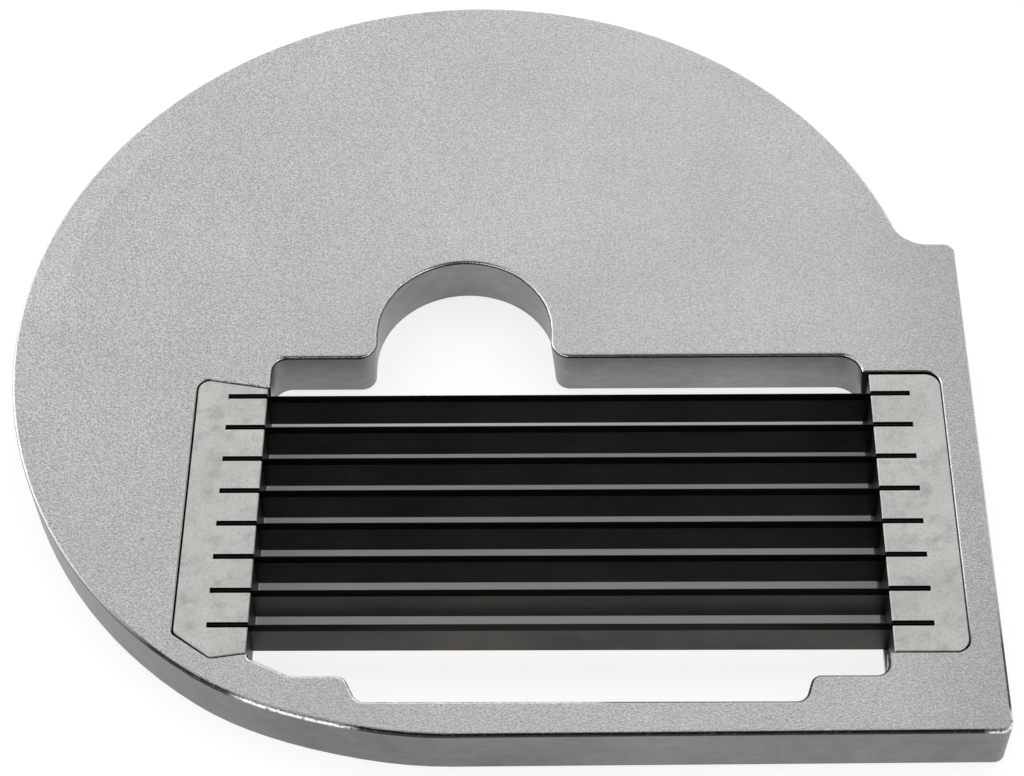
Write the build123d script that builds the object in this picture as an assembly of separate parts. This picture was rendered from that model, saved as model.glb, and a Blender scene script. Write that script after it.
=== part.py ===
from build123d import *
import os
from math import atan2, cos, degrees, radians, sin, sqrt

os.makedirs("parts", exist_ok=True)

# Chip-cutting grid plate for a continuous-feed vegetable cutter. The plate lies still under a
# spinning slicing disc, and the slices are pushed down through its blades into chips.
# Millimetres. +Z is up, towards the slicing disc. The origin is on the disc axis, on the seat
# plane of the underside. The food window and its blades are at the front (-Y), and the widened
# side with the tensioned blade holder is on the right (+X).

# Plate casting
plate_radius = 102.5        # outer radius about the disc axis
plate_thickness = 13.8
front_trim = 2.1            # how far the straight front edge lies inside the outer radius
front_lean = 0.9            # how much further back its right end lies
flat_start_x = -2.0         # where the straight front edge begins
blend_start = -123.0        # degrees: where the outer circle starts to ease into the front edge
blend_mid = -105.5          # degrees: middle of that easing
blend_drop = 1.5            # how far its middle lies inside the outer circle
side_reach = 8.4            # how far the flat right side stands outside the outer radius
side_top_y = 26.1           # rear end of the flat right side
side_corner = 2.5           # its two outer corners
side_fillet = 8.0           # hollow between it and the outer circle
edge_round = 0.9            # outer top edge
seat_chamfer = 0.4          # outer edge of the underside

# Window and drive-shaft notch
front_rim = 8.1             # metal in front of the window
right_rim = 6.75            # metal outside the right bar's pocket
sill_step = 5.9             # the two shoulders stand this much behind the sill
sill_left_x = -21.0         # ends of the deep middle part of the sill
sill_right_x = 69.7
sill_left_lean = 2.9        # sideways lean of its two ends
sill_right_lean = 1.8
shoulder_left_x = -35.0     # where the left shoulder turns into its slanting end
shoulder_left_rise = 4.2    # how far back that slanting end reaches
window_back_gap = 10.5      # from the rear blade to the rear wall of the window
window_draft = 4.5          # degrees: the walls open towards the underside
window_round = 0.8          # top edge of the window
rear_left_corner = 3.2
rear_right_corner = 4.7
step_corner = 2.6
shoulder_corner = 2.4
slant_corner = 0.8          # where the left shoulder's slanting end meets the window's side
notch_x = -1.2              # centre of the drive-shaft notch
notch_y = 1.6
notch_radius = 19.4
notch_corner = 4.4

# Blade grid
blade_count = 8
blade_pitch = 8.3           # chip width plus one blade
blade_thickness = 1.0
blade_bevel = 1.8           # height of the ground bevels
blade_edge = 0.14           # width left at the cutting edge
blade_drop = 0.1            # cutting edges below the plate's top
blade_foot_gap = 0.2        # from the blades down to the ledges

# Blade holders: two slotted bars, each on a ledge in a pocket of the plate
grid_left = 58.1            # from the left of the plate to the left bar's inner face
holder_width = 15.4
holder_floor = 3.5          # ledge of the plate under each bar
holder_front_gap = 19.2     # from the front edge to the front of the right bar
front_margin = 6.6          # from there to the front blade
rear_margin = 5.2           # from the rear blade to the rear of the right bar
holder_corner = 3.2         # outer corners of the right bar
holder_break = 0.2          # broken top edges of the bars
left_rear_corner = 2.4      # outer corners of the left bar
left_front_corner = 1.6
left_rear_near = 3.1        # the left bar's rear end is this much shorter at the window
left_rear_far = 0.4         # and this much at its outer side
left_nose_reach = 1.1       # its front end has a blunt nose that reaches this far forward
left_nose_inset = 7.3       # this far from the window
left_nose_slope = 6.0       # and slopes back this much to the outer side
slot_depth = 8.6
slot_width = 1.3
window_overlap = 0.6        # the window's left wall stands this far past the left bar's face
right_setback = 1.55        # the right bar's face is this far back from the right wall
left_side_gap = 0.42        # pocket clearances of the left bar
left_rear_gap = 0.3
left_front_gap = 0.12
right_side_gap = 0.2        # and of the right bar
right_rear_gap = 0.8
right_front_gap = 0.12
pocket_break = 0.25         # broken top edges of the pockets

# Retaining rods: one in each bar, through all the blade ends
rod_diameter = 2.5
rod_clearance = 0.15        # radial, in blades and bars
rod_inset = 5.4             # from a bar's inner face
rod_rise = 4.6              # above the ledge
rod_end_gap = 0.6           # from each rod end to the shorter side of its bar
rod_point = 0.3             # chamfer of the rod ends
blade_end_gap = 0.4         # from each blade end to the bottom of its slot

# Screws
screw_diameter = 4.0
thread_clearance = 0.05     # radial, in a tapped hole
hole_clearance = 0.25       # radial, in a plain hole
screw_inset = 3.5           # from a holder's outer side to the screws under it
screw_margin = 11.5         # from the holder's ends to those screws
screw_reach = 5.5           # thread in the holder
screw_point = 0.4           # chamfer of the screw tips
sink_diameter = 7.6         # countersunk head
sink_height = (sink_diameter - screw_diameter) / 2
sink_clearance = 0.15       # depth of the heads below the underside
sink_fit = 0.05             # between each head's cone and its seat
adjust_travel = 1.0         # the right holder's screw holes are longer by this
socket_flats = 2.5
socket_depth = 1.4
tension_margin = 21.0       # from the holder's ends to the tension screws
tension_rise = 4.2          # above the ledge
tension_reach = 5.6         # thread in the right holder
tension_hole_depth = 6.4
cap_diameter = 7.0
cap_height = 3.4
cap_recess = 4.3            # depth of the counterbore in the plate's side
cap_clearance = 0.4         # radial, in the counterbore
cap_flats = 3.0
cap_socket_depth = 1.8
cap_edge = 0.3              # chamfer of the heads
washer_diameter = 7.4
washer_thickness = 0.6

over = 1.0                  # how far a cut runs past the face that it opens

# Derived places
front_y = -(plate_radius - front_trim)
right_x = plate_radius + side_reach
sill_y = front_y + front_rim
shoulder_y = sill_y + sill_step
holder_front_y = front_y + holder_front_gap
front_blade_y = holder_front_y + front_margin
rear_blade_y = front_blade_y + (blade_count - 1) * blade_pitch
holder_rear_y = rear_blade_y + rear_margin
window_back_y = rear_blade_y + window_back_gap
left_face_x = -plate_radius + grid_left
left_side_x = left_face_x - holder_width
right_side_x = right_x - right_rim - right_side_gap
right_face_x = right_side_x - holder_width
window_left_x = left_face_x + window_overlap
window_right_x = right_face_x - right_setback
holder_height = plate_thickness - holder_floor
blade_top = plate_thickness - blade_drop
blade_foot = holder_floor + blade_foot_gap
left_rod_x = left_face_x - rod_inset
right_rod_x = right_face_x + rod_inset
rod_height = holder_floor + rod_rise
tension_height = holder_floor + tension_rise
screw_rows = (holder_rear_y - screw_margin, holder_front_y + screw_margin)
tension_rows = (holder_rear_y - tension_margin, holder_front_y + tension_margin)
left_screw_x = left_side_x + screw_inset
right_screw_x = right_side_x - screw_inset


def polar(radius, angle):
    return (radius * cos(radians(angle)), radius * sin(radians(angle)))


def at_height(shape, z):
    return Pos(0, 0, z) * shape


def cylinder_y(radius, length, x, y, z):
    """Round bar or hole along Y, centred at the point."""
    return Pos(x, y, z) * Rot(90, 0, 0) * Cylinder(radius, length)


def cylinder_x(radius, start, end, y, z):
    """Round bar or hole along X, from start to end."""
    return Pos((start + end) / 2, y, z) * Rot(0, 90, 0) * Cylinder(radius, end - start)


def hex_prism(flats, depth):
    """Hexagon socket, from z = 0 upwards."""
    return extrude(RegularPolygon(flats / 2, 6, major_radius=False), depth)


def corners_near(outline, places):
    """The outline's corners at the given points."""
    return [
        v for v in outline.vertices()
        if any(abs(v.X - x) + abs(v.Y - y) < 0.01 for x, y in places)
    ]


def plate_outline():
    """Outer circle, eased into a straight front edge, with a flat-sided widening on the right."""
    hollow_y = side_top_y + side_fillet
    hollow_x = sqrt((plate_radius + side_fillet) ** 2 - hollow_y ** 2)
    hollow_angle = degrees(atan2(hollow_y, hollow_x))
    circle_end = polar(plate_radius, hollow_angle)
    bend = polar(side_fillet, (hollow_angle + 180 + 270) / 2)
    hollow_mid = (hollow_x + bend[0], hollow_y + bend[1])
    rear_corner = (right_x, side_top_y)
    front_corner = (right_x, front_y + front_lean)
    flat_start = (flat_start_x, front_y)
    flat_dir = (flat_start_x - right_x, -front_lean)
    ease_start = polar(plate_radius, blend_start)
    ease_dir = (sin(radians(blend_start)), -cos(radians(blend_start)))
    edges = [
        ThreePointArc(ease_start, polar(plate_radius, 150), circle_end),
        ThreePointArc(circle_end, hollow_mid, (hollow_x, side_top_y)),
        Line((hollow_x, side_top_y), rear_corner),
        Line(rear_corner, front_corner),
        Line(front_corner, flat_start),
        Spline(
            flat_start,
            polar(plate_radius - blend_drop, blend_mid),
            ease_start,
            tangents=[flat_dir, ease_dir],
        ),
    ]
    outline = make_face(edges)
    return fillet(corners_near(outline, [rear_corner, front_corner]), side_corner)


def window_outline():
    """Food window with its stepped sill, opened at the back by the drive-shaft notch."""
    corners = [
        (sill_left_x, sill_y),
        (sill_right_x, sill_y),
        (sill_right_x + sill_right_lean, shoulder_y),
        (window_right_x, shoulder_y),
        (window_right_x, window_back_y),
        (window_left_x, window_back_y),
        (window_left_x, shoulder_y + shoulder_left_rise),
        (shoulder_left_x, shoulder_y),
        (sill_left_x - sill_left_lean, shoulder_y),
    ]
    radii = [
        step_corner, step_corner, shoulder_corner, step_corner, rear_right_corner,
        rear_left_corner, slant_corner, shoulder_corner, shoulder_corner,
    ]
    outline = make_face(FilletPolyline(*corners, radius=radii, close=True))
    side_length = notch_y - window_back_y + over
    notch = Pos(notch_x, notch_y) * Circle(notch_radius)
    notch += Pos(notch_x, notch_y - side_length / 2) * Rectangle(2 * notch_radius, side_length)
    outline += notch
    mouth = [(notch_x + side * notch_radius, window_back_y) for side in (-1, 1)]
    return fillet(corners_near(outline, mouth), notch_corner)


def left_bar_outline(side=0, rear=0, front=0):
    """Left bar from above, grown on three sides: its ends slant to follow the casting."""
    outer = left_side_x - side
    nose_y = holder_front_y - left_nose_reach - front
    nose = (left_face_x - left_nose_inset, nose_y)
    outer_rear = (outer, holder_rear_y - left_rear_far + rear)
    outer_front = (outer, nose_y + left_nose_slope)
    corners = [
        (left_face_x, holder_rear_y - left_rear_near + rear),
        outer_rear,
        outer_front,
        nose,
        (left_face_x, holder_front_y - front),
    ]
    outline = make_face(Polyline(*corners, close=True))
    outline = fillet(corners_near(outline, [outer_rear]), left_rear_corner)
    return fillet(corners_near(outline, [outer_front, nose]), left_front_corner)


def right_bar_outline(side=0, rear=0, front=0, inner=0):
    """Right bar from above, grown on four sides: a bar with its two outer corners rounded."""
    low = (right_face_x - inner, holder_front_y - front)
    high = (right_side_x + side, holder_rear_y + rear)
    centre = Pos((low[0] + high[0]) / 2, (low[1] + high[1]) / 2)
    bar = centre * Rectangle(high[0] - low[0], high[1] - low[1])
    return fillet(corners_near(bar, [high, (high[0], low[1])]), holder_corner)


def pockets():
    """Space milled in the plate for both bars, open to the window, with broken top edges."""
    left = left_bar_outline(left_side_gap, left_rear_gap, left_front_gap)
    rear = holder_rear_y - left_rear_near + left_rear_gap
    front = holder_front_y - left_front_gap
    reach = window_overlap + over
    left += Pos(left_face_x + reach / 2, (rear + front) / 2) * Rectangle(reach, rear - front)
    right = right_bar_outline(
        right_side_gap, right_rear_gap, right_front_gap, right_setback + over
    )
    cut = Part()
    for mouth in (left, right):
        cut += at_height(extrude(mouth, holder_height + over), holder_floor)
        top = at_height(mouth, plate_thickness - pocket_break)
        cut += extrude(top, amount=pocket_break, taper=-45)
    return cut


def countersunk_hole(travel):
    """Hole through a ledge from below, with its countersink, longer along X by the travel."""
    through = 2 * (screw_diameter / 2 + hole_clearance)
    mouth = sink_diameter + 2 * (sink_clearance + sink_fit)
    depth = (mouth - through) / 2
    if travel > 0:
        hole = extrude(SlotOverall(through + travel, through), holder_floor + over)
        sink = extrude(SlotOverall(mouth + travel, mouth), depth, taper=45)
    else:
        hole = extrude(Circle(through / 2), holder_floor + over)
        sink = extrude(Circle(mouth / 2), depth, taper=44.9)
    return hole + sink


def side_hole(y):
    """Counterbored hole for one tension screw, through the plate's right rim."""
    shank = screw_diameter / 2 + hole_clearance
    wide = cap_diameter / 2 + cap_clearance
    bore = cylinder_x(shank, right_side_x - over, right_x + over, y, tension_height)
    seat = cylinder_x(wide, right_x - cap_recess, right_x + over, y, tension_height)
    return bore + seat


def cutter_plate():
    """One casting: rounded rim, window and notch with draft, pockets and screw holes."""
    plate = extrude(plate_outline(), plate_thickness)
    plate = fillet(plate.edges().group_by(Axis.Z)[-1], edge_round)
    plate = chamfer(plate.edges().group_by(Axis.Z)[0], seat_chamfer)
    plate -= extrude(
        at_height(window_outline(), plate_thickness), amount=-plate_thickness, taper=-window_draft
    )
    plate = fillet(plate.faces().sort_by(Axis.Z)[-1].inner_wires()[0].edges(), window_round)
    plate -= pockets()
    for y in screw_rows:
        plate -= Pos(left_screw_x, y) * countersunk_hole(0)
        plate -= Pos(right_screw_x, y) * countersunk_hole(adjust_travel)
    for y in tension_rows:
        plate -= side_hole(y)
    return plate


def blade_rows():
    """Blade places along Y, rear to front."""
    return [rear_blade_y - i * blade_pitch for i in range(blade_count)]


def slotted(holder, face_x, side, rod_x, screw_x):
    """Cut the blade slots, the rod bore and the two tapped holes into a holder."""
    for y in blade_rows():
        middle = face_x + side * (slot_depth - over) / 2
        holder -= Pos(middle, y, holder_floor + holder_height / 2) * Box(
            slot_depth + over, slot_width, holder_height + 2 * over
        )
    middle = (holder_rear_y + holder_front_y) / 2
    length = holder_rear_y - holder_front_y + 4 * over
    holder -= cylinder_y(rod_diameter / 2 + rod_clearance, length, rod_x, middle, rod_height)
    for y in screw_rows:
        tapped = Cylinder(screw_diameter / 2 + thread_clearance, 2 * screw_reach + over)
        holder -= Pos(screw_x, y, holder_floor) * tapped
    return holder


def bar(outline):
    """Bar of the outline on its ledge, with its top edges broken."""
    solid = at_height(extrude(outline, holder_height), holder_floor)
    return chamfer(solid.edges().group_by(Axis.Z)[-1], holder_break)


def left_blade_holder():
    """Fixed comb on the left."""
    return slotted(bar(left_bar_outline()), left_face_x, -1, left_rod_x, left_screw_x)


def right_blade_holder():
    """Tensioned comb on the right, tapped from the side for its two screws."""
    holder = slotted(bar(right_bar_outline()), right_face_x, 1, right_rod_x, right_screw_x)
    radius = screw_diameter / 2 + thread_clearance
    start = right_side_x - tension_hole_depth
    for y in tension_rows:
        holder -= cylinder_x(radius, start, right_side_x + over, y, tension_height)
    return holder


def blade(y):
    """Flat strip with both top sides ground to an edge and a rod hole near each end."""
    low = blade_foot
    half = blade_thickness / 2
    edge = blade_edge / 2
    profile = [
        (y - half, low), (y + half, low), (y + half, blade_top - blade_bevel),
        (y + edge, blade_top), (y - edge, blade_top), (y - half, blade_top - blade_bevel),
    ]
    start = left_face_x - slot_depth + blade_end_gap
    end = right_face_x + slot_depth - blade_end_gap
    section = make_face(Polyline(*[(start, p[0], p[1]) for p in profile], close=True))
    strip = extrude(section, amount=end - start, dir=(1, 0, 0))
    for x in (left_rod_x, right_rod_x):
        through = blade_thickness + 2 * over
        strip -= cylinder_y(rod_diameter / 2 + rod_clearance, through, x, y, rod_height)
    return strip


def blade_rod(x, rear, front):
    """Plain rod that holds the blade ends in one holder."""
    length = rear - front
    rod = cylinder_y(rod_diameter / 2, length, x, (rear + front) / 2, rod_height)
    return chamfer(rod.edges().filter_by(GeomType.CIRCLE), rod_point)


def holder_screw(x, y):
    """Countersunk socket screw, from below."""
    radius = screw_diameter / 2
    sunk = sink_clearance
    cone = Cone(sink_diameter / 2, radius, sink_height)
    cone = Pos(x, y, sunk + sink_height / 2) * cone
    top = holder_floor + screw_reach
    shank = Pos(x, y, (sunk + top) / 2) * Cylinder(radius, top - sunk)
    body = chamfer(shank.edges().group_by(Axis.Z)[-1], screw_point) + cone
    return body - Pos(x, y, sunk) * hex_prism(socket_flats, socket_depth)


def tension_screw(y):
    """Cap-head socket screw through the rim into the right holder."""
    under_head = right_x - cap_recess + washer_thickness
    radius = screw_diameter / 2
    shank = cylinder_x(radius, right_side_x - tension_reach, under_head, y, tension_height)
    shank = chamfer(shank.edges().group_by(Axis.X)[0], screw_point)
    head = cylinder_x(cap_diameter / 2, under_head, under_head + cap_height, y, tension_height)
    head = chamfer(head.edges().group_by(Axis.X)[-1], cap_edge)
    socket = Rot(0, 90, 0) * hex_prism(cap_flats, cap_socket_depth + over)
    outer = under_head + cap_height
    return shank + head - Pos(outer - cap_socket_depth, y, tension_height) * socket


def tension_washer(y):
    """Washer between the screw head and its counterbore."""
    start = right_x - cap_recess
    end = start + washer_thickness
    ring = cylinder_x(washer_diameter / 2, start, end, y, tension_height)
    hole = screw_diameter / 2 + hole_clearance
    return ring - cylinder_x(hole, start - over, end + over, y, tension_height)


nodes = {
    "cutter_plate": cutter_plate(),
    "left_blade_holder": left_blade_holder(),
    "right_blade_holder": right_blade_holder(),
    "left_blade_rod": blade_rod(
        left_rod_x, holder_rear_y - left_rear_near - rod_end_gap, holder_front_y + rod_end_gap
    ),
    "right_blade_rod": blade_rod(
        right_rod_x, holder_rear_y - rod_end_gap, holder_front_y + rod_end_gap
    ),
}
for number, row in enumerate(blade_rows(), start=1):
    nodes[f"blade_{number}"] = blade(row)
for name, x in (("left", left_screw_x), ("right", right_screw_x)):
    for place, row in zip(("rear", "front"), screw_rows):
        nodes[f"{name}_holder_screw_{place}"] = holder_screw(x, row)
for place, row in zip(("rear", "front"), tension_rows):
    nodes[f"tension_screw_{place}"] = tension_screw(row)
    nodes[f"tension_washer_{place}"] = tension_washer(row)

for name, solid in nodes.items():
    export_step(solid, f"parts/{name}.step")
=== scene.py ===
import bpy
import numpy as np
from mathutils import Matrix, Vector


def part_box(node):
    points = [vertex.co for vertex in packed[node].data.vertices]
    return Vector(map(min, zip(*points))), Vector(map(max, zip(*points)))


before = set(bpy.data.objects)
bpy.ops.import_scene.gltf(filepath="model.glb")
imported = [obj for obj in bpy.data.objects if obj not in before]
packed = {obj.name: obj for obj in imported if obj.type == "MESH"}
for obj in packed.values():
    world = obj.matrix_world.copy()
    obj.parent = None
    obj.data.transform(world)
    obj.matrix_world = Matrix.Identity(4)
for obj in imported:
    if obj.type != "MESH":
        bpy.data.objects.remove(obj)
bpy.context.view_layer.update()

# ---------------------------------------------------------------------------------------------
# Cast plate
# One aluminium casting with the fine orange-peel skin of a blasted die on its top, smoother
# drafted walls, and edges that were linished by hand. Its pockets are milled afterwards.
MM = 0.001
TOP_SHADE = ((0.478, 0.487, 0.479), (0.546, 0.553, 0.541))
# the walls are painted darker than the top, as painted shade of the side faces
PAINTED_WALL_SHADE = ((0.172, 0.176, 0.182), (0.278, 0.281, 0.286))
PAINTED_OUTER_SHADE = 0.77           # painted shade: brightness of the outer wall against the window's
SOOT_TONES = (0.88, 1.11)   # darkest and lightest blotches of the walls
TONES = ((0.992, 1.003, 0.998), (1.014, 0.994, 0.988))  # cool far left, warm front right
FLAT_SIDE = (0.088, 0.108)  # x over which the top darkens towards the flat side
FLAT_SIDE_TONE = 0.87
# bright metal of rubbed edges, also used for the painted highlight
RUBBED_AND_HIGHLIGHT_SHADE = (0.74, 0.74, 0.73)
# painted shade: a dark reflection painted on the roundings of the window's edge and the front edge
PAINTED_EDGE_SHADE = (0.040, 0.038, 0.040)
PIT_SHADE = (0.20, 0.20, 0.19)
SKIN_CELLS = 2300.0         # grains per metre
SKIN_DEPTH = 0.110          # mm, height of the grains; the grit adds to it
WALL_SKIN = 0.32            # share of that depth on the walls and roundings
HIGHLIGHT_SKIN = 0.25           # and what the spots of painted highlight add to it
FLOW = (-0.085, 0.005)      # x - y / 2 where the coarse skin starts to thin out, and where it ends
FINE_GRAINS = 0.30          # share of the grains' height that is left there
COARSE_TONES = (0.62, 1.34)  # darkest and lightest grains of the coarse skin
FINE_TONES = (0.74, 1.23)   # and of the fine skin
FOOT = (0.06, 0.16)         # how far up a face looks, as its normal's z: foot of a rounding,
SHOULDER = (0.48, 0.62)     # its shoulder, from where it is polished,
LEVEL = (0.90, 0.985)       # and the flat top
RIM = (0.0960, 0.0975)      # across the middle of the rim, from the disc axis
FRONT = (-0.058, -0.080)    # y where the front edge begins, and from where it is all front
RIDGE_RADIUS = 94.2 * MM    # faint step where two parts of the die met
RIDGE_HALF = 0.9 * MM       # half its width
RIDGE_WOBBLE = 0.6 * MM
RIDGE_DEPTH = 0.20          # mm
RIDGE_AIM = np.radians(159)  # middle of the step, seen from the disc axis
RIDGE_ENDS = (0.935, 0.972)  # cosines of the angle from there: where it begins and is full
HIGHLIGHT_SPOTS = (                   # two spots of painted highlight on the edge: middle and reach in metres
    ((-0.0340, -0.0955, 0.0135), 0.0145),
    ((0.1085, -0.0975, 0.0135), 0.0042),
)


def wire(tree, socket, value):
    """Feeds a socket from another socket, a number or a colour."""
    if isinstance(value, bpy.types.NodeSocket):
        tree.links.new(value, socket)
    elif isinstance(value, tuple) and len(value) == 3 and socket.type == "RGBA":
        socket.default_value = (*value, 1.0)
    else:
        socket.default_value = value


def maths(tree, operation, first, second=0.0, clamp=False):
    """first (operation) second, where each is a socket or a number."""
    made = tree.nodes.new("ShaderNodeMath")
    made.operation = operation
    made.use_clamp = clamp
    wire(tree, made.inputs[0], first)
    wire(tree, made.inputs[1], second)
    return made.outputs[0]


def blend(tree, mask, low, high):
    """Colour low where the mask is 0, high where it is 1; each a socket or a colour."""
    made = tree.nodes.new("ShaderNodeMix")
    made.data_type = "RGBA"
    wire(tree, made.inputs[0], mask)
    wire(tree, made.inputs[6], low)
    wire(tree, made.inputs[7], high)
    return made.outputs[2]


def darken(tree, colour, factor):
    """The colour times a factor that changes over the surface."""
    made = tree.nodes.new("ShaderNodeVectorMath")
    made.operation = "SCALE"
    wire(tree, made.inputs[0], colour)
    wire(tree, made.inputs["Scale"], factor)
    return made.outputs[0]


def multiply(tree, first, second):
    """Two colours multiplied channel by channel."""
    made = tree.nodes.new("ShaderNodeVectorMath")
    made.operation = "MULTIPLY"
    wire(tree, made.inputs[0], first)
    wire(tree, made.inputs[1], second)
    return made.outputs[0]


def rescale(tree, value, low, high, to_low=0.0, to_high=1.0):
    """The value mapped straight from low..high to to_low..to_high, and held inside it."""
    made = tree.nodes.new("ShaderNodeMapRange")
    for name, number in (
        ("Value", value), ("From Min", low), ("From Max", high),
        ("To Min", to_low), ("To Max", to_high),
    ):
        wire(tree, made.inputs[name], number)
    return made.outputs["Result"]


def noise(tree, place, per_metre, detail=2.0, roughness=0.5, stretch=None):
    """Noise with so many cells per metre. A stretch scales the place along each axis first:
    below 1 draws the cells out, above 1 squeezes them."""
    if stretch:
        mapping = tree.nodes.new("ShaderNodeMapping")
        mapping.inputs["Scale"].default_value = stretch
        wire(tree, mapping.inputs["Vector"], place)
        place = mapping.outputs["Vector"]
    made = tree.nodes.new("ShaderNodeTexNoise")
    for name, value in (
        ("Vector", place), ("Scale", per_metre), ("Detail", detail), ("Roughness", roughness)
    ):
        wire(tree, made.inputs[name], value)
    return made.outputs["Fac"]


def axes(tree, place):
    """X, Y and Z of a place or a direction."""
    made = tree.nodes.new("ShaderNodeSeparateXYZ")
    wire(tree, made.inputs[0], place)
    return made.outputs["X"], made.outputs["Y"], made.outputs["Z"]


def new_group(name, takes, gives):
    """An empty shader group with named inputs (with their defaults) and named outputs."""
    tree = bpy.data.node_groups.new(name, "ShaderNodeTree")
    for label, kind, start in takes:
        socket = tree.interface.new_socket(label, in_out="INPUT", socket_type=kind)
        if start is not None:
            socket.default_value = start
    for label in gives:
        tree.interface.new_socket(label, in_out="OUTPUT", socket_type="NodeSocketFloat")
    return tree, tree.nodes.new("NodeGroupInput").outputs, tree.nodes.new("NodeGroupOutput").inputs


def skin_group():
    """Skin of cast or blasted metal: rounded grains of one size with finer grit on them.
    Height = Grains * grains + Grit * grit; Speckle = 0.7 grains + 0.3 grit, for the colour."""
    tree, takes, gives = new_group(
        "metal skin",
        [
            ("Place", "NodeSocketVector", None),
            ("Cells", "NodeSocketFloat", 1400.0),
            ("Grains", "NodeSocketFloat", 1.0),
            ("Grit", "NodeSocketFloat", 0.5),
        ],
        ["Height", "Speckle"],
    )
    grains = noise(tree, takes["Place"], takes["Cells"], 2.5, 0.6)
    grit = noise(tree, takes["Place"], maths(tree, "MULTIPLY", takes["Cells"], 1.8), 2.0)
    grains = rescale(tree, grains, 0.34, 0.66)
    grit = rescale(tree, grit, 0.35, 0.65)
    fine = maths(tree, "MULTIPLY", grit, takes["Grit"])
    broad = maths(tree, "MULTIPLY", grains, takes["Grains"])
    wire(tree, gives["Height"], maths(tree, "ADD", broad, fine))
    coarse = maths(tree, "MULTIPLY", grains, 0.7)
    wire(tree, gives["Speckle"], maths(tree, "ADD", coarse, maths(tree, "MULTIPLY", grit, 0.3)))
    return tree


def rub_group():
    """Rubbed edges: 1 where the surface turns within Width, broken up by noise, 0 elsewhere.
    Edge = 6 (1 - bevelled normal . real normal) (1 - Patchiness * noise)."""
    tree, takes, gives = new_group(
        "rubbed edges",
        [
            ("Place", "NodeSocketVector", None),
            ("Width", "NodeSocketFloat", 0.0008),
            ("Patchiness", "NodeSocketFloat", 0.5),
        ],
        ["Edge"],
    )
    soft = tree.nodes.new("ShaderNodeBevel")
    soft.samples = 4
    wire(tree, soft.inputs["Radius"], takes["Width"])
    real = tree.nodes.new("ShaderNodeNewGeometry").outputs["True Normal"]
    turn = tree.nodes.new("ShaderNodeVectorMath")
    turn.operation = "DOT_PRODUCT"
    wire(tree, turn.inputs[0], soft.outputs["Normal"])
    wire(tree, turn.inputs[1], real)
    bend = maths(tree, "SUBTRACT", 1.0, turn.outputs["Value"])
    edge = maths(tree, "MULTIPLY", bend, 6.0, True)
    missing = rescale(tree, noise(tree, takes["Place"], 350.0, 3.0), 0.6, 0.35)
    patchy = maths(tree, "MULTIPLY", missing, takes["Patchiness"])
    kept = maths(tree, "SUBTRACT", 1.0, patchy, True)
    wire(tree, gives["Edge"], maths(tree, "MULTIPLY", edge, kept))
    return tree


def stain_group():
    """Handling marks and dried water. Cloud is wide and soft, Spot is small and rare, and
    Pit is a scatter of tiny round pits, in about one cell out of six of a Voronoi grid."""
    tree, takes, gives = new_group(
        "stains",
        [
            ("Place", "NodeSocketVector", None),
            ("Size", "NodeSocketFloat", 40.0),
            ("Pits", "NodeSocketFloat", 120.0),
        ],
        ["Cloud", "Spot", "Pit"],
    )
    wide = noise(tree, takes["Place"], takes["Size"], 4.0, 0.6)
    small = noise(tree, takes["Place"], maths(tree, "MULTIPLY", takes["Size"], 9.0), 3.0)
    wire(tree, gives["Cloud"], rescale(tree, wide, 0.3, 0.7))
    wire(tree, gives["Spot"], rescale(tree, small, 0.62, 0.74))
    grid = tree.nodes.new("ShaderNodeTexVoronoi")
    wire(tree, grid.inputs["Vector"], takes["Place"])
    wire(tree, grid.inputs["Scale"], takes["Pits"])
    chosen = rescale(tree, axes(tree, grid.outputs["Color"])[0], 0.80, 0.86)
    core = rescale(tree, grid.outputs["Distance"], 0.055, 0.025)
    wire(tree, gives["Pit"], maths(tree, "MULTIPLY", chosen, core))
    return tree


metal_skin = skin_group()
rubbed_edges = rub_group()
stains = stain_group()


def use_group(tree, group, place, **values):
    """The group placed in a material, fed with a place and its own values."""
    made = tree.nodes.new("ShaderNodeGroup")
    made.node_tree = group
    wire(tree, made.inputs["Place"], place)
    for key, value in values.items():
        wire(tree, made.inputs[key], value)
    return made.outputs


def new_metal(name, metallic, roughness):
    """A material with its tree, its shader's inputs and the object's coordinates in metres.
    Metallic and roughness hold wherever nothing is wired to them afterwards."""
    material = bpy.data.materials.new(name)
    material.use_nodes = True
    tree = material.node_tree
    shader = tree.nodes["Principled BSDF"]
    shader.inputs["Metallic"].default_value = metallic
    shader.inputs["Roughness"].default_value = roughness
    place = tree.nodes.new("ShaderNodeTexCoord").outputs["Object"]
    return material, tree, shader.inputs, place


def relief(tree, shader, height):
    """Bump whose height is in millimetres, fed to the shader's normal."""
    made = tree.nodes.new("ShaderNodeBump")
    made.inputs["Strength"].default_value = 1.0
    made.inputs["Distance"].default_value = MM
    wire(tree, made.inputs["Height"], height)
    wire(tree, shader["Normal"], made.outputs["Normal"])


def die_ridge(tree, place):
    """Faint step of the die: 0 inside RIDGE_RADIUS and 1 outside, over a ninth of the rim.
    The stretch of rim is cos(angle from RIDGE_AIM) = (x cos + y sin) / radius."""
    x, y = axes(tree, place)[:2]
    square = maths(tree, "ADD", maths(tree, "MULTIPLY", x, x), maths(tree, "MULTIPLY", y, y))
    radius = maths(tree, "SQRT", square)
    along = maths(tree, "ADD", maths(tree, "MULTIPLY", x, float(np.cos(RIDGE_AIM))),
                  maths(tree, "MULTIPLY", y, float(np.sin(RIDGE_AIM))))
    stretch = rescale(tree, maths(tree, "DIVIDE", along, radius), *RIDGE_ENDS)
    wobble = rescale(tree, noise(tree, place, 40.0), 0.3, 0.7, -RIDGE_WOBBLE, RIDGE_WOBBLE)
    outward = maths(tree, "ADD", radius, wobble)
    step = rescale(tree, outward, RIDGE_RADIUS - RIDGE_HALF, RIDGE_RADIUS + RIDGE_HALF)
    return maths(tree, "MULTIPLY", step, stretch)


def front_edge(tree, place):
    """1 at the straight front of the plate, 0 behind it: it rises as y falls across FRONT."""
    return rescale(tree, axes(tree, place)[1], *FRONT)


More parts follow.
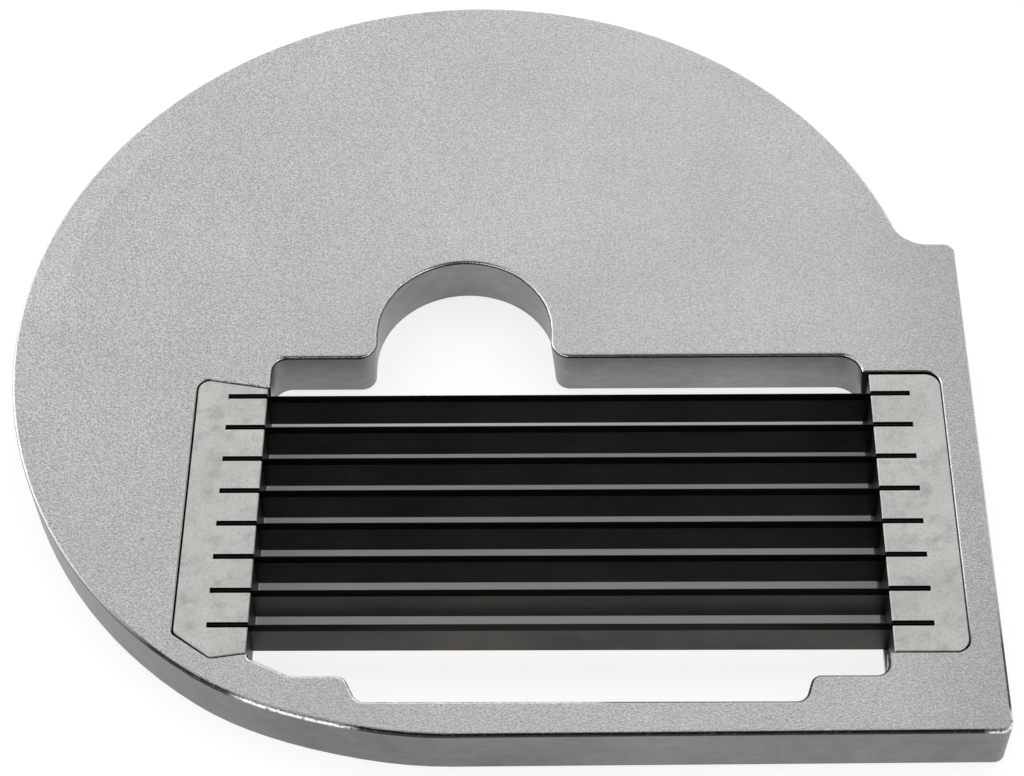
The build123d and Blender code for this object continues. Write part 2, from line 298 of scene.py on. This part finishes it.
def outer_wall(tree, place):
    """1 outside the middle of the rim, 0 inside it. The reach is the largest of x, -y and
    the root of x squared plus y squared, so it follows the flat side, the front and the arc."""
    x, y = axes(tree, place)[:2]
    square = maths(tree, "ADD", maths(tree, "MULTIPLY", x, x), maths(tree, "MULTIPLY", y, y))
    reach = maths(tree, "MAXIMUM", x, maths(tree, "MULTIPLY", y, -1.0))
    reach = maths(tree, "MAXIMUM", reach, maths(tree, "SQRT", square))
    return rescale(tree, reach, *RIM)


def painted_highlight(tree, place):
    """Painted highlight on two stretches of the edge, broken into scratches: full within 0.7 of
    their reach, falling to 0 at the reach itself."""
    highlight_spot = 0.0
    for middle, reach in HIGHLIGHT_SPOTS:
        away = tree.nodes.new("ShaderNodeVectorMath")
        away.operation = "DISTANCE"
        wire(tree, away.inputs[0], place)
        away.inputs[1].default_value = middle
        near = rescale(tree, away.outputs["Value"], reach, 0.7 * reach)
        highlight_spot = maths(tree, "MAXIMUM", near, highlight_spot)
    scratches = rescale(tree, noise(tree, place, 1500.0, 3.0, 0.6), 0.36, 0.48, 0.25, 1.0)
    return maths(tree, "MULTIPLY", highlight_spot, scratches)


def cast_aluminium():
    """Grained skin on top, smooth walls painted darker as shade, polished edges, two spots of
    painted highlight and a few pits. Painted dark reflection lines the window's edge and the whole
    front edge."""
    material, tree, shader, place = new_metal("cast aluminium", 1.0, 0.34)
    facing = tree.nodes.new("ShaderNodeNewGeometry").outputs["Normal"]
    facing_up = axes(tree, facing)[2]
    level = rescale(tree, facing_up, *LEVEL)
    upward = rescale(tree, facing_up, *SHOULDER)
    polished = maths(tree, "SUBTRACT", upward, level)
    rounding = maths(tree, "SUBTRACT", rescale(tree, facing_up, *FOOT), level)
    highlight_spot = maths(tree, "MULTIPLY", rounding, painted_highlight(tree, place))
    outer = outer_wall(tree, place)
    front = maths(tree, "MULTIPLY", outer, front_edge(tree, place))
    polished = maths(tree, "MULTIPLY", polished, maths(tree, "SUBTRACT", 1.0, front))
    # where that painted shade goes: inside the rim, and all along the front
    painted_edge_place = maths(tree, "MAXIMUM", maths(tree, "SUBTRACT", 1.0, outer), front)
    ragged = rescale(tree, noise(tree, place, 1100.0, 3.0), 0.32, 0.46, 0.85, 1.0)
    painted_edge = maths(tree, "MULTIPLY", maths(tree, "SUBTRACT", rounding, polished, True), ragged)
    painted_edge = maths(tree, "MULTIPLY", painted_edge, painted_edge_place)
    x, y = axes(tree, place)[:2]
    flow = rescale(tree, maths(tree, "SUBTRACT", x, maths(tree, "MULTIPLY", y, 0.5)), *FLOW)
    coarse = rescale(tree, flow, 0.0, 1.0, 1.0, FINE_GRAINS)
    skin = use_group(tree, metal_skin, place, Cells=SKIN_CELLS, Grains=coarse, Grit=0.45)
    marks = use_group(tree, stains, place, Size=26.0, Pits=90.0)
    rub = use_group(tree, rubbed_edges, place, Width=0.0009, Patchiness=0.6)
    ridge = die_ridge(tree, place)

    top = multiply(tree, blend(tree, marks["Cloud"], *TOP_SHADE), blend(tree, flow, *TONES))
    darkest, lightest = (rescale(tree, flow, 0.0, 1.0, *ends)
                         for ends in zip(COARSE_TONES, FINE_TONES))
    grain = rescale(tree, skin["Speckle"], 0.1, 0.9, darkest, lightest)
    drawn = noise(tree, place, 300.0, 5.0, 0.7, stretch=(0.8, 0.8, 1.6))
    soot = rescale(tree, drawn, 0.32, 0.68, *SOOT_TONES)
    top = darken(tree, darken(tree, top, grain), rescale(tree, ridge, 0.0, 1.0, 0.99, 1.08))
    top = darken(tree, top, rescale(tree, x, *FLAT_SIDE, 1.0, FLAT_SIDE_TONE))
    # walls: painted shade, darker still on the outer wall
    painted_wall = darken(tree, blend(tree, marks["Cloud"], *PAINTED_WALL_SHADE), soot)
    painted_wall = darken(tree, painted_wall, rescale(tree, outer, 0.0, 1.0, 1.0, PAINTED_OUTER_SHADE))
    # painted shade on the roundings, broken up by noise
    colour = blend(tree, painted_edge, blend(tree, upward, painted_wall, top), PAINTED_EDGE_SHADE)
    wear_and_highlight = maths(tree, "MULTIPLY", maths(tree, "MULTIPLY", rub["Edge"], level), 0.45)
    wear_and_highlight = maths(tree, "MAXIMUM", wear_and_highlight, maths(tree, "MULTIPLY", polished, 0.7))
    wear_and_highlight = maths(tree, "MAXIMUM", wear_and_highlight, highlight_spot)
    # rubbed and polished edges, and the spots of painted highlight
    colour = blend(tree, wear_and_highlight, colour, RUBBED_AND_HIGHLIGHT_SHADE)
    colour = blend(tree, maths(tree, "MULTIPLY", marks["Pit"], level), colour, PIT_SHADE)
    wire(tree, shader["Base Color"], colour)

    wire(tree, shader["Metallic"], rescale(tree, level, 0.0, 1.0, 1.0, 0.70))
    rough = rescale(tree, level, 0.0, 1.0, 0.33, 0.36)
    rough = maths(tree, "ADD", rough, rescale(tree, marks["Cloud"], 0.0, 1.0, -0.03, 0.03))
    rough = maths(tree, "SUBTRACT", rough, maths(tree, "MULTIPLY", wear_and_highlight, 0.20))
    wire(tree, shader["Roughness"], rough)

    depth = rescale(tree, level, 0.0, 1.0, WALL_SKIN * SKIN_DEPTH, SKIN_DEPTH)
    depth = maths(tree, "ADD", depth, maths(tree, "MULTIPLY", highlight_spot, HIGHLIGHT_SKIN * SKIN_DEPTH))
    height = maths(tree, "MULTIPLY", skin["Height"], depth)
    height = maths(tree, "ADD", height, maths(tree, "MULTIPLY", ridge, RIDGE_DEPTH))
    relief(tree, shader, height)
    return material


def dress(node, material):
    """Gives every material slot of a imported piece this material."""
    mesh = packed[node].data
    if not mesh.materials:
        mesh.materials.append(material)
    for slot in range(len(mesh.materials)):
        mesh.materials[slot] = material


dress("cutter_plate", cast_aluminium())

# ---------------------------------------------------------------------------------------------
# Blade bars
# Two bars milled from aluminium flat and glass-blasted, each with a comb of slots. They drop
# into the plate's pockets flush with its top and carry the ends of the blades.
BAR_SHADE = ((0.530, 0.528, 0.511), (0.618, 0.611, 0.590))
# painted shade on the bars' sides and slots
PAINTED_SIDE_SHADE = (0.06, 0.06, 0.06)
SMUDGE_SHADE = (0.30, 0.27, 0.25)
SMUDGES = (0.50, 0.76)      # noise where a smudge begins, and where it is strongest
SMUDGE_STRENGTH = 0.62
BAR_TONES = (0.88, 1.07)    # darkest and lightest grains
BAR_CELLS = 2300.0          # grains per metre
BAR_SKIN = 0.010            # mm, height of the grains


def milled_aluminium():
    """Even blasted skin on top, smoother than the casting, with faint brown smudges of
    handling, and sides and slots darkened with painted shade."""
    material, tree, shader, place = new_metal("milled aluminium", 0.72, 0.42)
    facing = tree.nodes.new("ShaderNodeNewGeometry").outputs["True Normal"]
    upward = rescale(tree, axes(tree, facing)[2], 0.2, 0.6)
    skin = use_group(tree, metal_skin, place, Cells=BAR_CELLS, Grit=0.6)
    marks = use_group(tree, stains, place, Size=110.0, Pits=330.0)
    rub = use_group(tree, rubbed_edges, place, Width=0.0004, Patchiness=0.3)
    smudge = noise(tree, place, 210.0, 5.0, 0.7)
    smudge = rescale(tree, smudge, *SMUDGES, 0.0, SMUDGE_STRENGTH)
    colour = blend(tree, marks["Cloud"], *BAR_SHADE)
    colour = blend(tree, smudge, colour, SMUDGE_SHADE)
    colour = blend(tree, maths(tree, "MULTIPLY", marks["Spot"], 0.35), colour, SMUDGE_SHADE)
    colour = darken(tree, colour, rescale(tree, skin["Speckle"], 0.1, 0.9, *BAR_TONES))
    colour = blend(tree, maths(tree, "MULTIPLY", marks["Pit"], 0.7), colour, PIT_SHADE)
    colour = blend(tree, maths(tree, "MULTIPLY", rub["Edge"], 0.4), colour, RUBBED_AND_HIGHLIGHT_SHADE)
    # sides and slots in painted shade
    wire(tree, shader["Base Color"], blend(tree, upward, PAINTED_SIDE_SHADE, colour))
    wire(tree, shader["Roughness"], rescale(tree, marks["Cloud"], 0.0, 1.0, 0.46, 0.38))
    relief(tree, shader, maths(tree, "MULTIPLY", skin["Height"], BAR_SKIN))
    return material


bar_metal = milled_aluminium()
for bar in ("left_blade_holder", "right_blade_holder"):
    dress(bar, bar_metal)

# ---------------------------------------------------------------------------------------------
# Blades
# Eight strips of dark hardened spring steel on edge, ground to a cutting edge at the top.
# Each is held by a rod through both ends and drawn tight by the right-hand bar.
BLADE_COUNT = 8
BEVEL_HEIGHT = 1.8 * MM
BEVEL_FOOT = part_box("blade_1")[1][2] - BEVEL_HEIGHT
BEVEL_LINE = 0.1 * MM       # half the height over which face turns into bevel
FACE_SHADE = ((0.018, 0.019, 0.020), (0.058, 0.051, 0.041))
STREAK_TONES = (0.70, 1.30)  # darkest and lightest streaks of the face
GROUND_SHADE = ((0.012, 0.012, 0.013), (0.026, 0.026, 0.026))
STARCH_SHADE = (0.014, 0.012, 0.011)
BLADE_PIT_SHADE = (0.004, 0.004, 0.004)
GRINDING_DEPTH = 0.003      # mm


def dark_steel():
    """Blackened strip with patches of brown heat tint, fine lengthwise grinding, dark specks
    of dried starch and a blacker ground bevel."""
    material, tree, shader, place = new_metal("dark spring steel", 0.9, 0.34)
    height = axes(tree, place)[2]
    bevel = rescale(tree, height, BEVEL_FOOT - BEVEL_LINE, BEVEL_FOOT + BEVEL_LINE)
    streaks = noise(tree, place, 1000.0, 3.0, 0.6, stretch=(0.02, 1.0, 4.0))
    marks = use_group(tree, stains, place, Size=45.0, Pits=110.0)
    face = blend(tree, marks["Cloud"], *FACE_SHADE)
    face = darken(tree, face, rescale(tree, streaks, 0.3, 0.7, *STREAK_TONES))
    face = blend(tree, maths(tree, "MULTIPLY", marks["Spot"], 0.4), face, STARCH_SHADE)
    ground = blend(tree, streaks, *GROUND_SHADE)
    colour = blend(tree, marks["Pit"], blend(tree, bevel, face, ground), BLADE_PIT_SHADE)
    wire(tree, shader["Base Color"], colour)
    wire(tree, shader["Roughness"], rescale(tree, streaks, 0.3, 0.7, 0.28, 0.42))
    relief(tree, shader, maths(tree, "MULTIPLY", streaks, GRINDING_DEPTH))
    return material


blade_steel = dark_steel()
for number in range(1, BLADE_COUNT + 1):
    dress(f"blade_{number}", blade_steel)

# ---------------------------------------------------------------------------------------------
# Rods, screws and washers
# Turned and rolled stainless steel: a rod through the blade ends in each bar, countersunk
# screws from below, and two cap screws in the right side that draw the blades tight.
STEEL_SHADE = ((0.42, 0.42, 0.42), (0.55, 0.55, 0.54))
STEEL_EDGE_SHADE = (0.75, 0.75, 0.75)
TURNING_CELLS = 6000.0      # per metre
TURNING_DEPTH = 0.002       # mm


def stainless():
    """Bright turned steel with slightly dull, mottled faces and clean edges."""
    material, tree, shader, place = new_metal("stainless steel", 1.0, 0.3)
    marks = use_group(tree, stains, place, Size=300.0)
    rub = use_group(tree, rubbed_edges, place, Width=0.0003, Patchiness=0.4)
    fine = noise(tree, place, TURNING_CELLS)
    colour = blend(tree, marks["Cloud"], *STEEL_SHADE)
    colour = blend(tree, maths(tree, "MULTIPLY", rub["Edge"], 0.5), colour, STEEL_EDGE_SHADE)
    wire(tree, shader["Base Color"], colour)
    wire(tree, shader["Roughness"], rescale(tree, fine, 0.3, 0.7, 0.24, 0.38))
    relief(tree, shader, maths(tree, "MULTIPLY", fine, TURNING_DEPTH))
    return material


screw_steel = stainless()
for name in packed:
    if "screw" in name or "rod" in name or "washer" in name:
        dress(name, screw_steel)

# ---------------------------------------------------------------------------------------------
# Floor
# A matt white table top. Seen straight on or in the metal it shows as paper white, and it
# keeps the plate's soft shadow; it lights the metal as plain white card does.
FLOOR_REACH = 3.0
FLOOR_SHADE = 0.86
SEEN_SHADE = 0.40           # for the eye and for what the metal mirrors
OPEN_GLOW = 0.80            # with this much paper white
GRID_GLOW = 0.10            # and less under the blades: a painted shadow of the blades on the card
GRID_ROWS = (-0.0728, -0.0714, -0.0160, -0.0090)  # y where they begin, are full, thin out, end
GRID_ENDS = (-0.0475, -0.0445, 0.0885, 0.0915)    # and the same along x
FLOOR_DROP = 0.0001         # below the plate, so that neither hides the other


def inside(tree, value, bounds):
    """1 between the two middle bounds, falling to 0 at the outer two."""
    rise = rescale(tree, value, bounds[0], bounds[1])
    return maths(tree, "MULTIPLY", rise, rescale(tree, value, bounds[3], bounds[2]))


def white_floor():
    """Square of four corners: a diffuse card with a glow that only seen and mirrored rays get,
    and nothing at all from below, so that the underside can be looked at."""
    mesh = bpy.data.meshes.new("floor")
    corners = [(x * FLOOR_REACH, y * FLOOR_REACH, -FLOOR_DROP)
               for x, y in ((-1, -1), (1, -1), (1, 1), (-1, 1))]
    mesh.from_pydata(corners, [], [(0, 1, 2, 3)])
    floor = bpy.data.objects.new("floor", mesh)
    bpy.context.scene.collection.objects.link(floor)
    material = bpy.data.materials.new("white card")
    material.use_nodes = True
    tree = material.node_tree
    tree.nodes.remove(tree.nodes["Principled BSDF"])
    x, y = axes(tree, tree.nodes.new("ShaderNodeTexCoord").outputs["Object"])[:2]
    # painted shadow of the blades: less glow on the card under them
    painted_grid_shadow = maths(tree, "MULTIPLY", inside(tree, x, GRID_ENDS), inside(tree, y, GRID_ROWS))
    ray = tree.nodes.new("ShaderNodeLightPath").outputs
    seen = maths(tree, "ADD", ray["Is Camera Ray"], ray["Is Glossy Ray"], True)
    seen = maths(tree, "ADD", seen, ray["Is Transmission Ray"], True)
    card = tree.nodes.new("ShaderNodeBsdfDiffuse")
    wire(tree, card.inputs["Color"], blend(tree, seen, (FLOOR_SHADE,) * 3, (SEEN_SHADE,) * 3))
    glow = tree.nodes.new("ShaderNodeEmission")
    strength = rescale(tree, painted_grid_shadow, 0.0, 1.0, OPEN_GLOW, GRID_GLOW)
    wire(tree, glow.inputs["Strength"], maths(tree, "MULTIPLY", seen, strength))
    both = tree.nodes.new("ShaderNodeAddShader")
    wire(tree, both.inputs[0], card.outputs["BSDF"])
    wire(tree, both.inputs[1], glow.outputs["Emission"])
    side = tree.nodes.new("ShaderNodeMixShader")
    below = tree.nodes.new("ShaderNodeNewGeometry").outputs["Backfacing"]
    wire(tree, side.inputs["Fac"], below)
    wire(tree, side.inputs[1], both.outputs["Shader"])
    wire(tree, side.inputs[2], tree.nodes.new("ShaderNodeBsdfTransparent").outputs["BSDF"])
    wire(tree, tree.nodes["Material Output"].inputs["Surface"], side.outputs["Shader"])
    mesh.materials.append(material)


white_floor()

# ---------------------------------------------------------------------------------------------
# Studio light
# One broad diffuser above and behind, four standing strip lights, and a dark room in front with
# pale side walls. Plain light comes from below. All of it is the sky, which the metal mirrors.
ROOM = 0.06                 # the dark room in front
ROOM_SIDE = 0.75            # its pale side walls
WALL_FOOT = 1.0             # which are white at the foot, behind the table
FOOT_HEIGHT = (0.12, 0.20)  # where the foot ends; heights are the sine of the angle upward
SIDES = (0.74, 0.92)        # how far off the middle the side walls begin, and are full
DIFFUSER_BACK = (-0.10, 0.42)  # how far back the diffuser begins, and is full
DIFFUSER_HEIGHT = (0.25, 0.55)
SIDE_TONES = (1.04, 0.96)   # room and diffuser are brighter at the left than at the right
CELLAR = 0.85               # plain light from below, which the floor keeps from the scene
HORIZON = (-0.12, -0.04)    # height where that light ends
STRIP_LIGHTS = (            # degrees about Z and half width, height as a sine, strength
    (90, 35, 0.50, 2.2),
    (152, 16, 0.45, 2.0),
    (-124, 17, 0.46, 2.8),
    (-45, 17, 0.46, 2.8),
)
STRIP_SOFT = (6, -5)        # degrees past the half width where a strip ends and where it is full
STRIP_FADE = 0.15           # height over which it fades at its top

world = bpy.data.worlds.new("studio")
bpy.context.scene.world = world
world.use_nodes = True
sky = world.node_tree
aim = sky.nodes.new("ShaderNodeTexCoord").outputs["Generated"]
sideways, rearward, upward = axes(sky, aim)
across = maths(sky, "SQRT", maths(sky, "SUBTRACT", 1.0, maths(sky, "MULTIPLY", upward, upward)))
off_middle = maths(sky, "DIVIDE", maths(sky, "ABSOLUTE", sideways), across)
side_wall = rescale(sky, upward, *FOOT_HEIGHT, WALL_FOOT, ROOM_SIDE)
room = rescale(sky, off_middle, *SIDES, ROOM, side_wall)
diffuser = rescale(sky, rearward, *DIFFUSER_BACK)
diffuser = maths(sky, "MULTIPLY", diffuser, rescale(sky, upward, *DIFFUSER_HEIGHT))
glow = maths(sky, "MULTIPLY", diffuser, maths(sky, "SUBTRACT", 1.0, room))
glow = maths(sky, "ADD", glow, room)
glow = maths(sky, "MULTIPLY", glow, rescale(sky, sideways, -0.6, 0.6, *SIDE_TONES))
for turn, half, height, strength in STRIP_LIGHTS:
    eastward, northward = float(np.cos(np.radians(turn))), float(np.sin(np.radians(turn)))
    facing = maths(sky, "ADD", maths(sky, "MULTIPLY", sideways, eastward),
                   maths(sky, "MULTIPLY", rearward, northward))
    facing = maths(sky, "DIVIDE", facing, across)
    rim, core = (float(np.cos(np.radians(half + more))) for more in STRIP_SOFT)
    lit = maths(sky, "MULTIPLY", rescale(sky, facing, rim, core, 0.0, strength),
                rescale(sky, upward, height, height - STRIP_FADE))
    glow = maths(sky, "ADD", glow, lit)
above = rescale(sky, upward, *HORIZON)
glow = maths(sky, "MULTIPLY", glow, above)
glow = maths(sky, "ADD", glow, rescale(sky, above, 0.0, 1.0, CELLAR, 0.0))
wire(sky, sky.nodes["Background"].inputs["Strength"], glow)
wire(sky, sky.nodes["Background"].inputs["Color"], (1.0, 1.0, 1.0))

# ---------------------------------------------------------------------------------------------
# Camera
# It looks down on the plate from in front, a little to the right of the disc axis.
EYE = np.array([22.544, -323.45, 442.888]) * MM
TILT, SWING, ROLL = (np.radians(angle) for angle in (54.230, -2.380, -2.219))
LENS = 84.13                # mm
SENSOR = 36.0               # mm


def look(tilt, swing, roll):
    """Rows right, up and backward of a view tilted down, swung about Z and rolled."""
    ahead = np.array([np.sin(swing) * np.cos(tilt), np.cos(swing) * np.cos(tilt), -np.sin(tilt)])
    right = np.array([np.cos(swing), -np.sin(swing), 0.0])
    down = np.cross(ahead, right)
    c, s = np.cos(roll), np.sin(roll)
    return np.array([c * right - s * down, -s * right - c * down, -ahead])


lens = bpy.data.cameras.new("camera")
lens.lens = LENS
lens.sensor_width = SENSOR
camera = bpy.data.objects.new("camera", lens)
turned = np.eye(4)
turned[:3, :3] = look(TILT, SWING, ROLL).T
turned[:3, 3] = EYE
camera.matrix_world = turned.T
bpy.context.scene.collection.objects.link(camera)
bpy.context.scene.camera = camera
bpy.context.scene.view_settings.view_transform = "Standard"
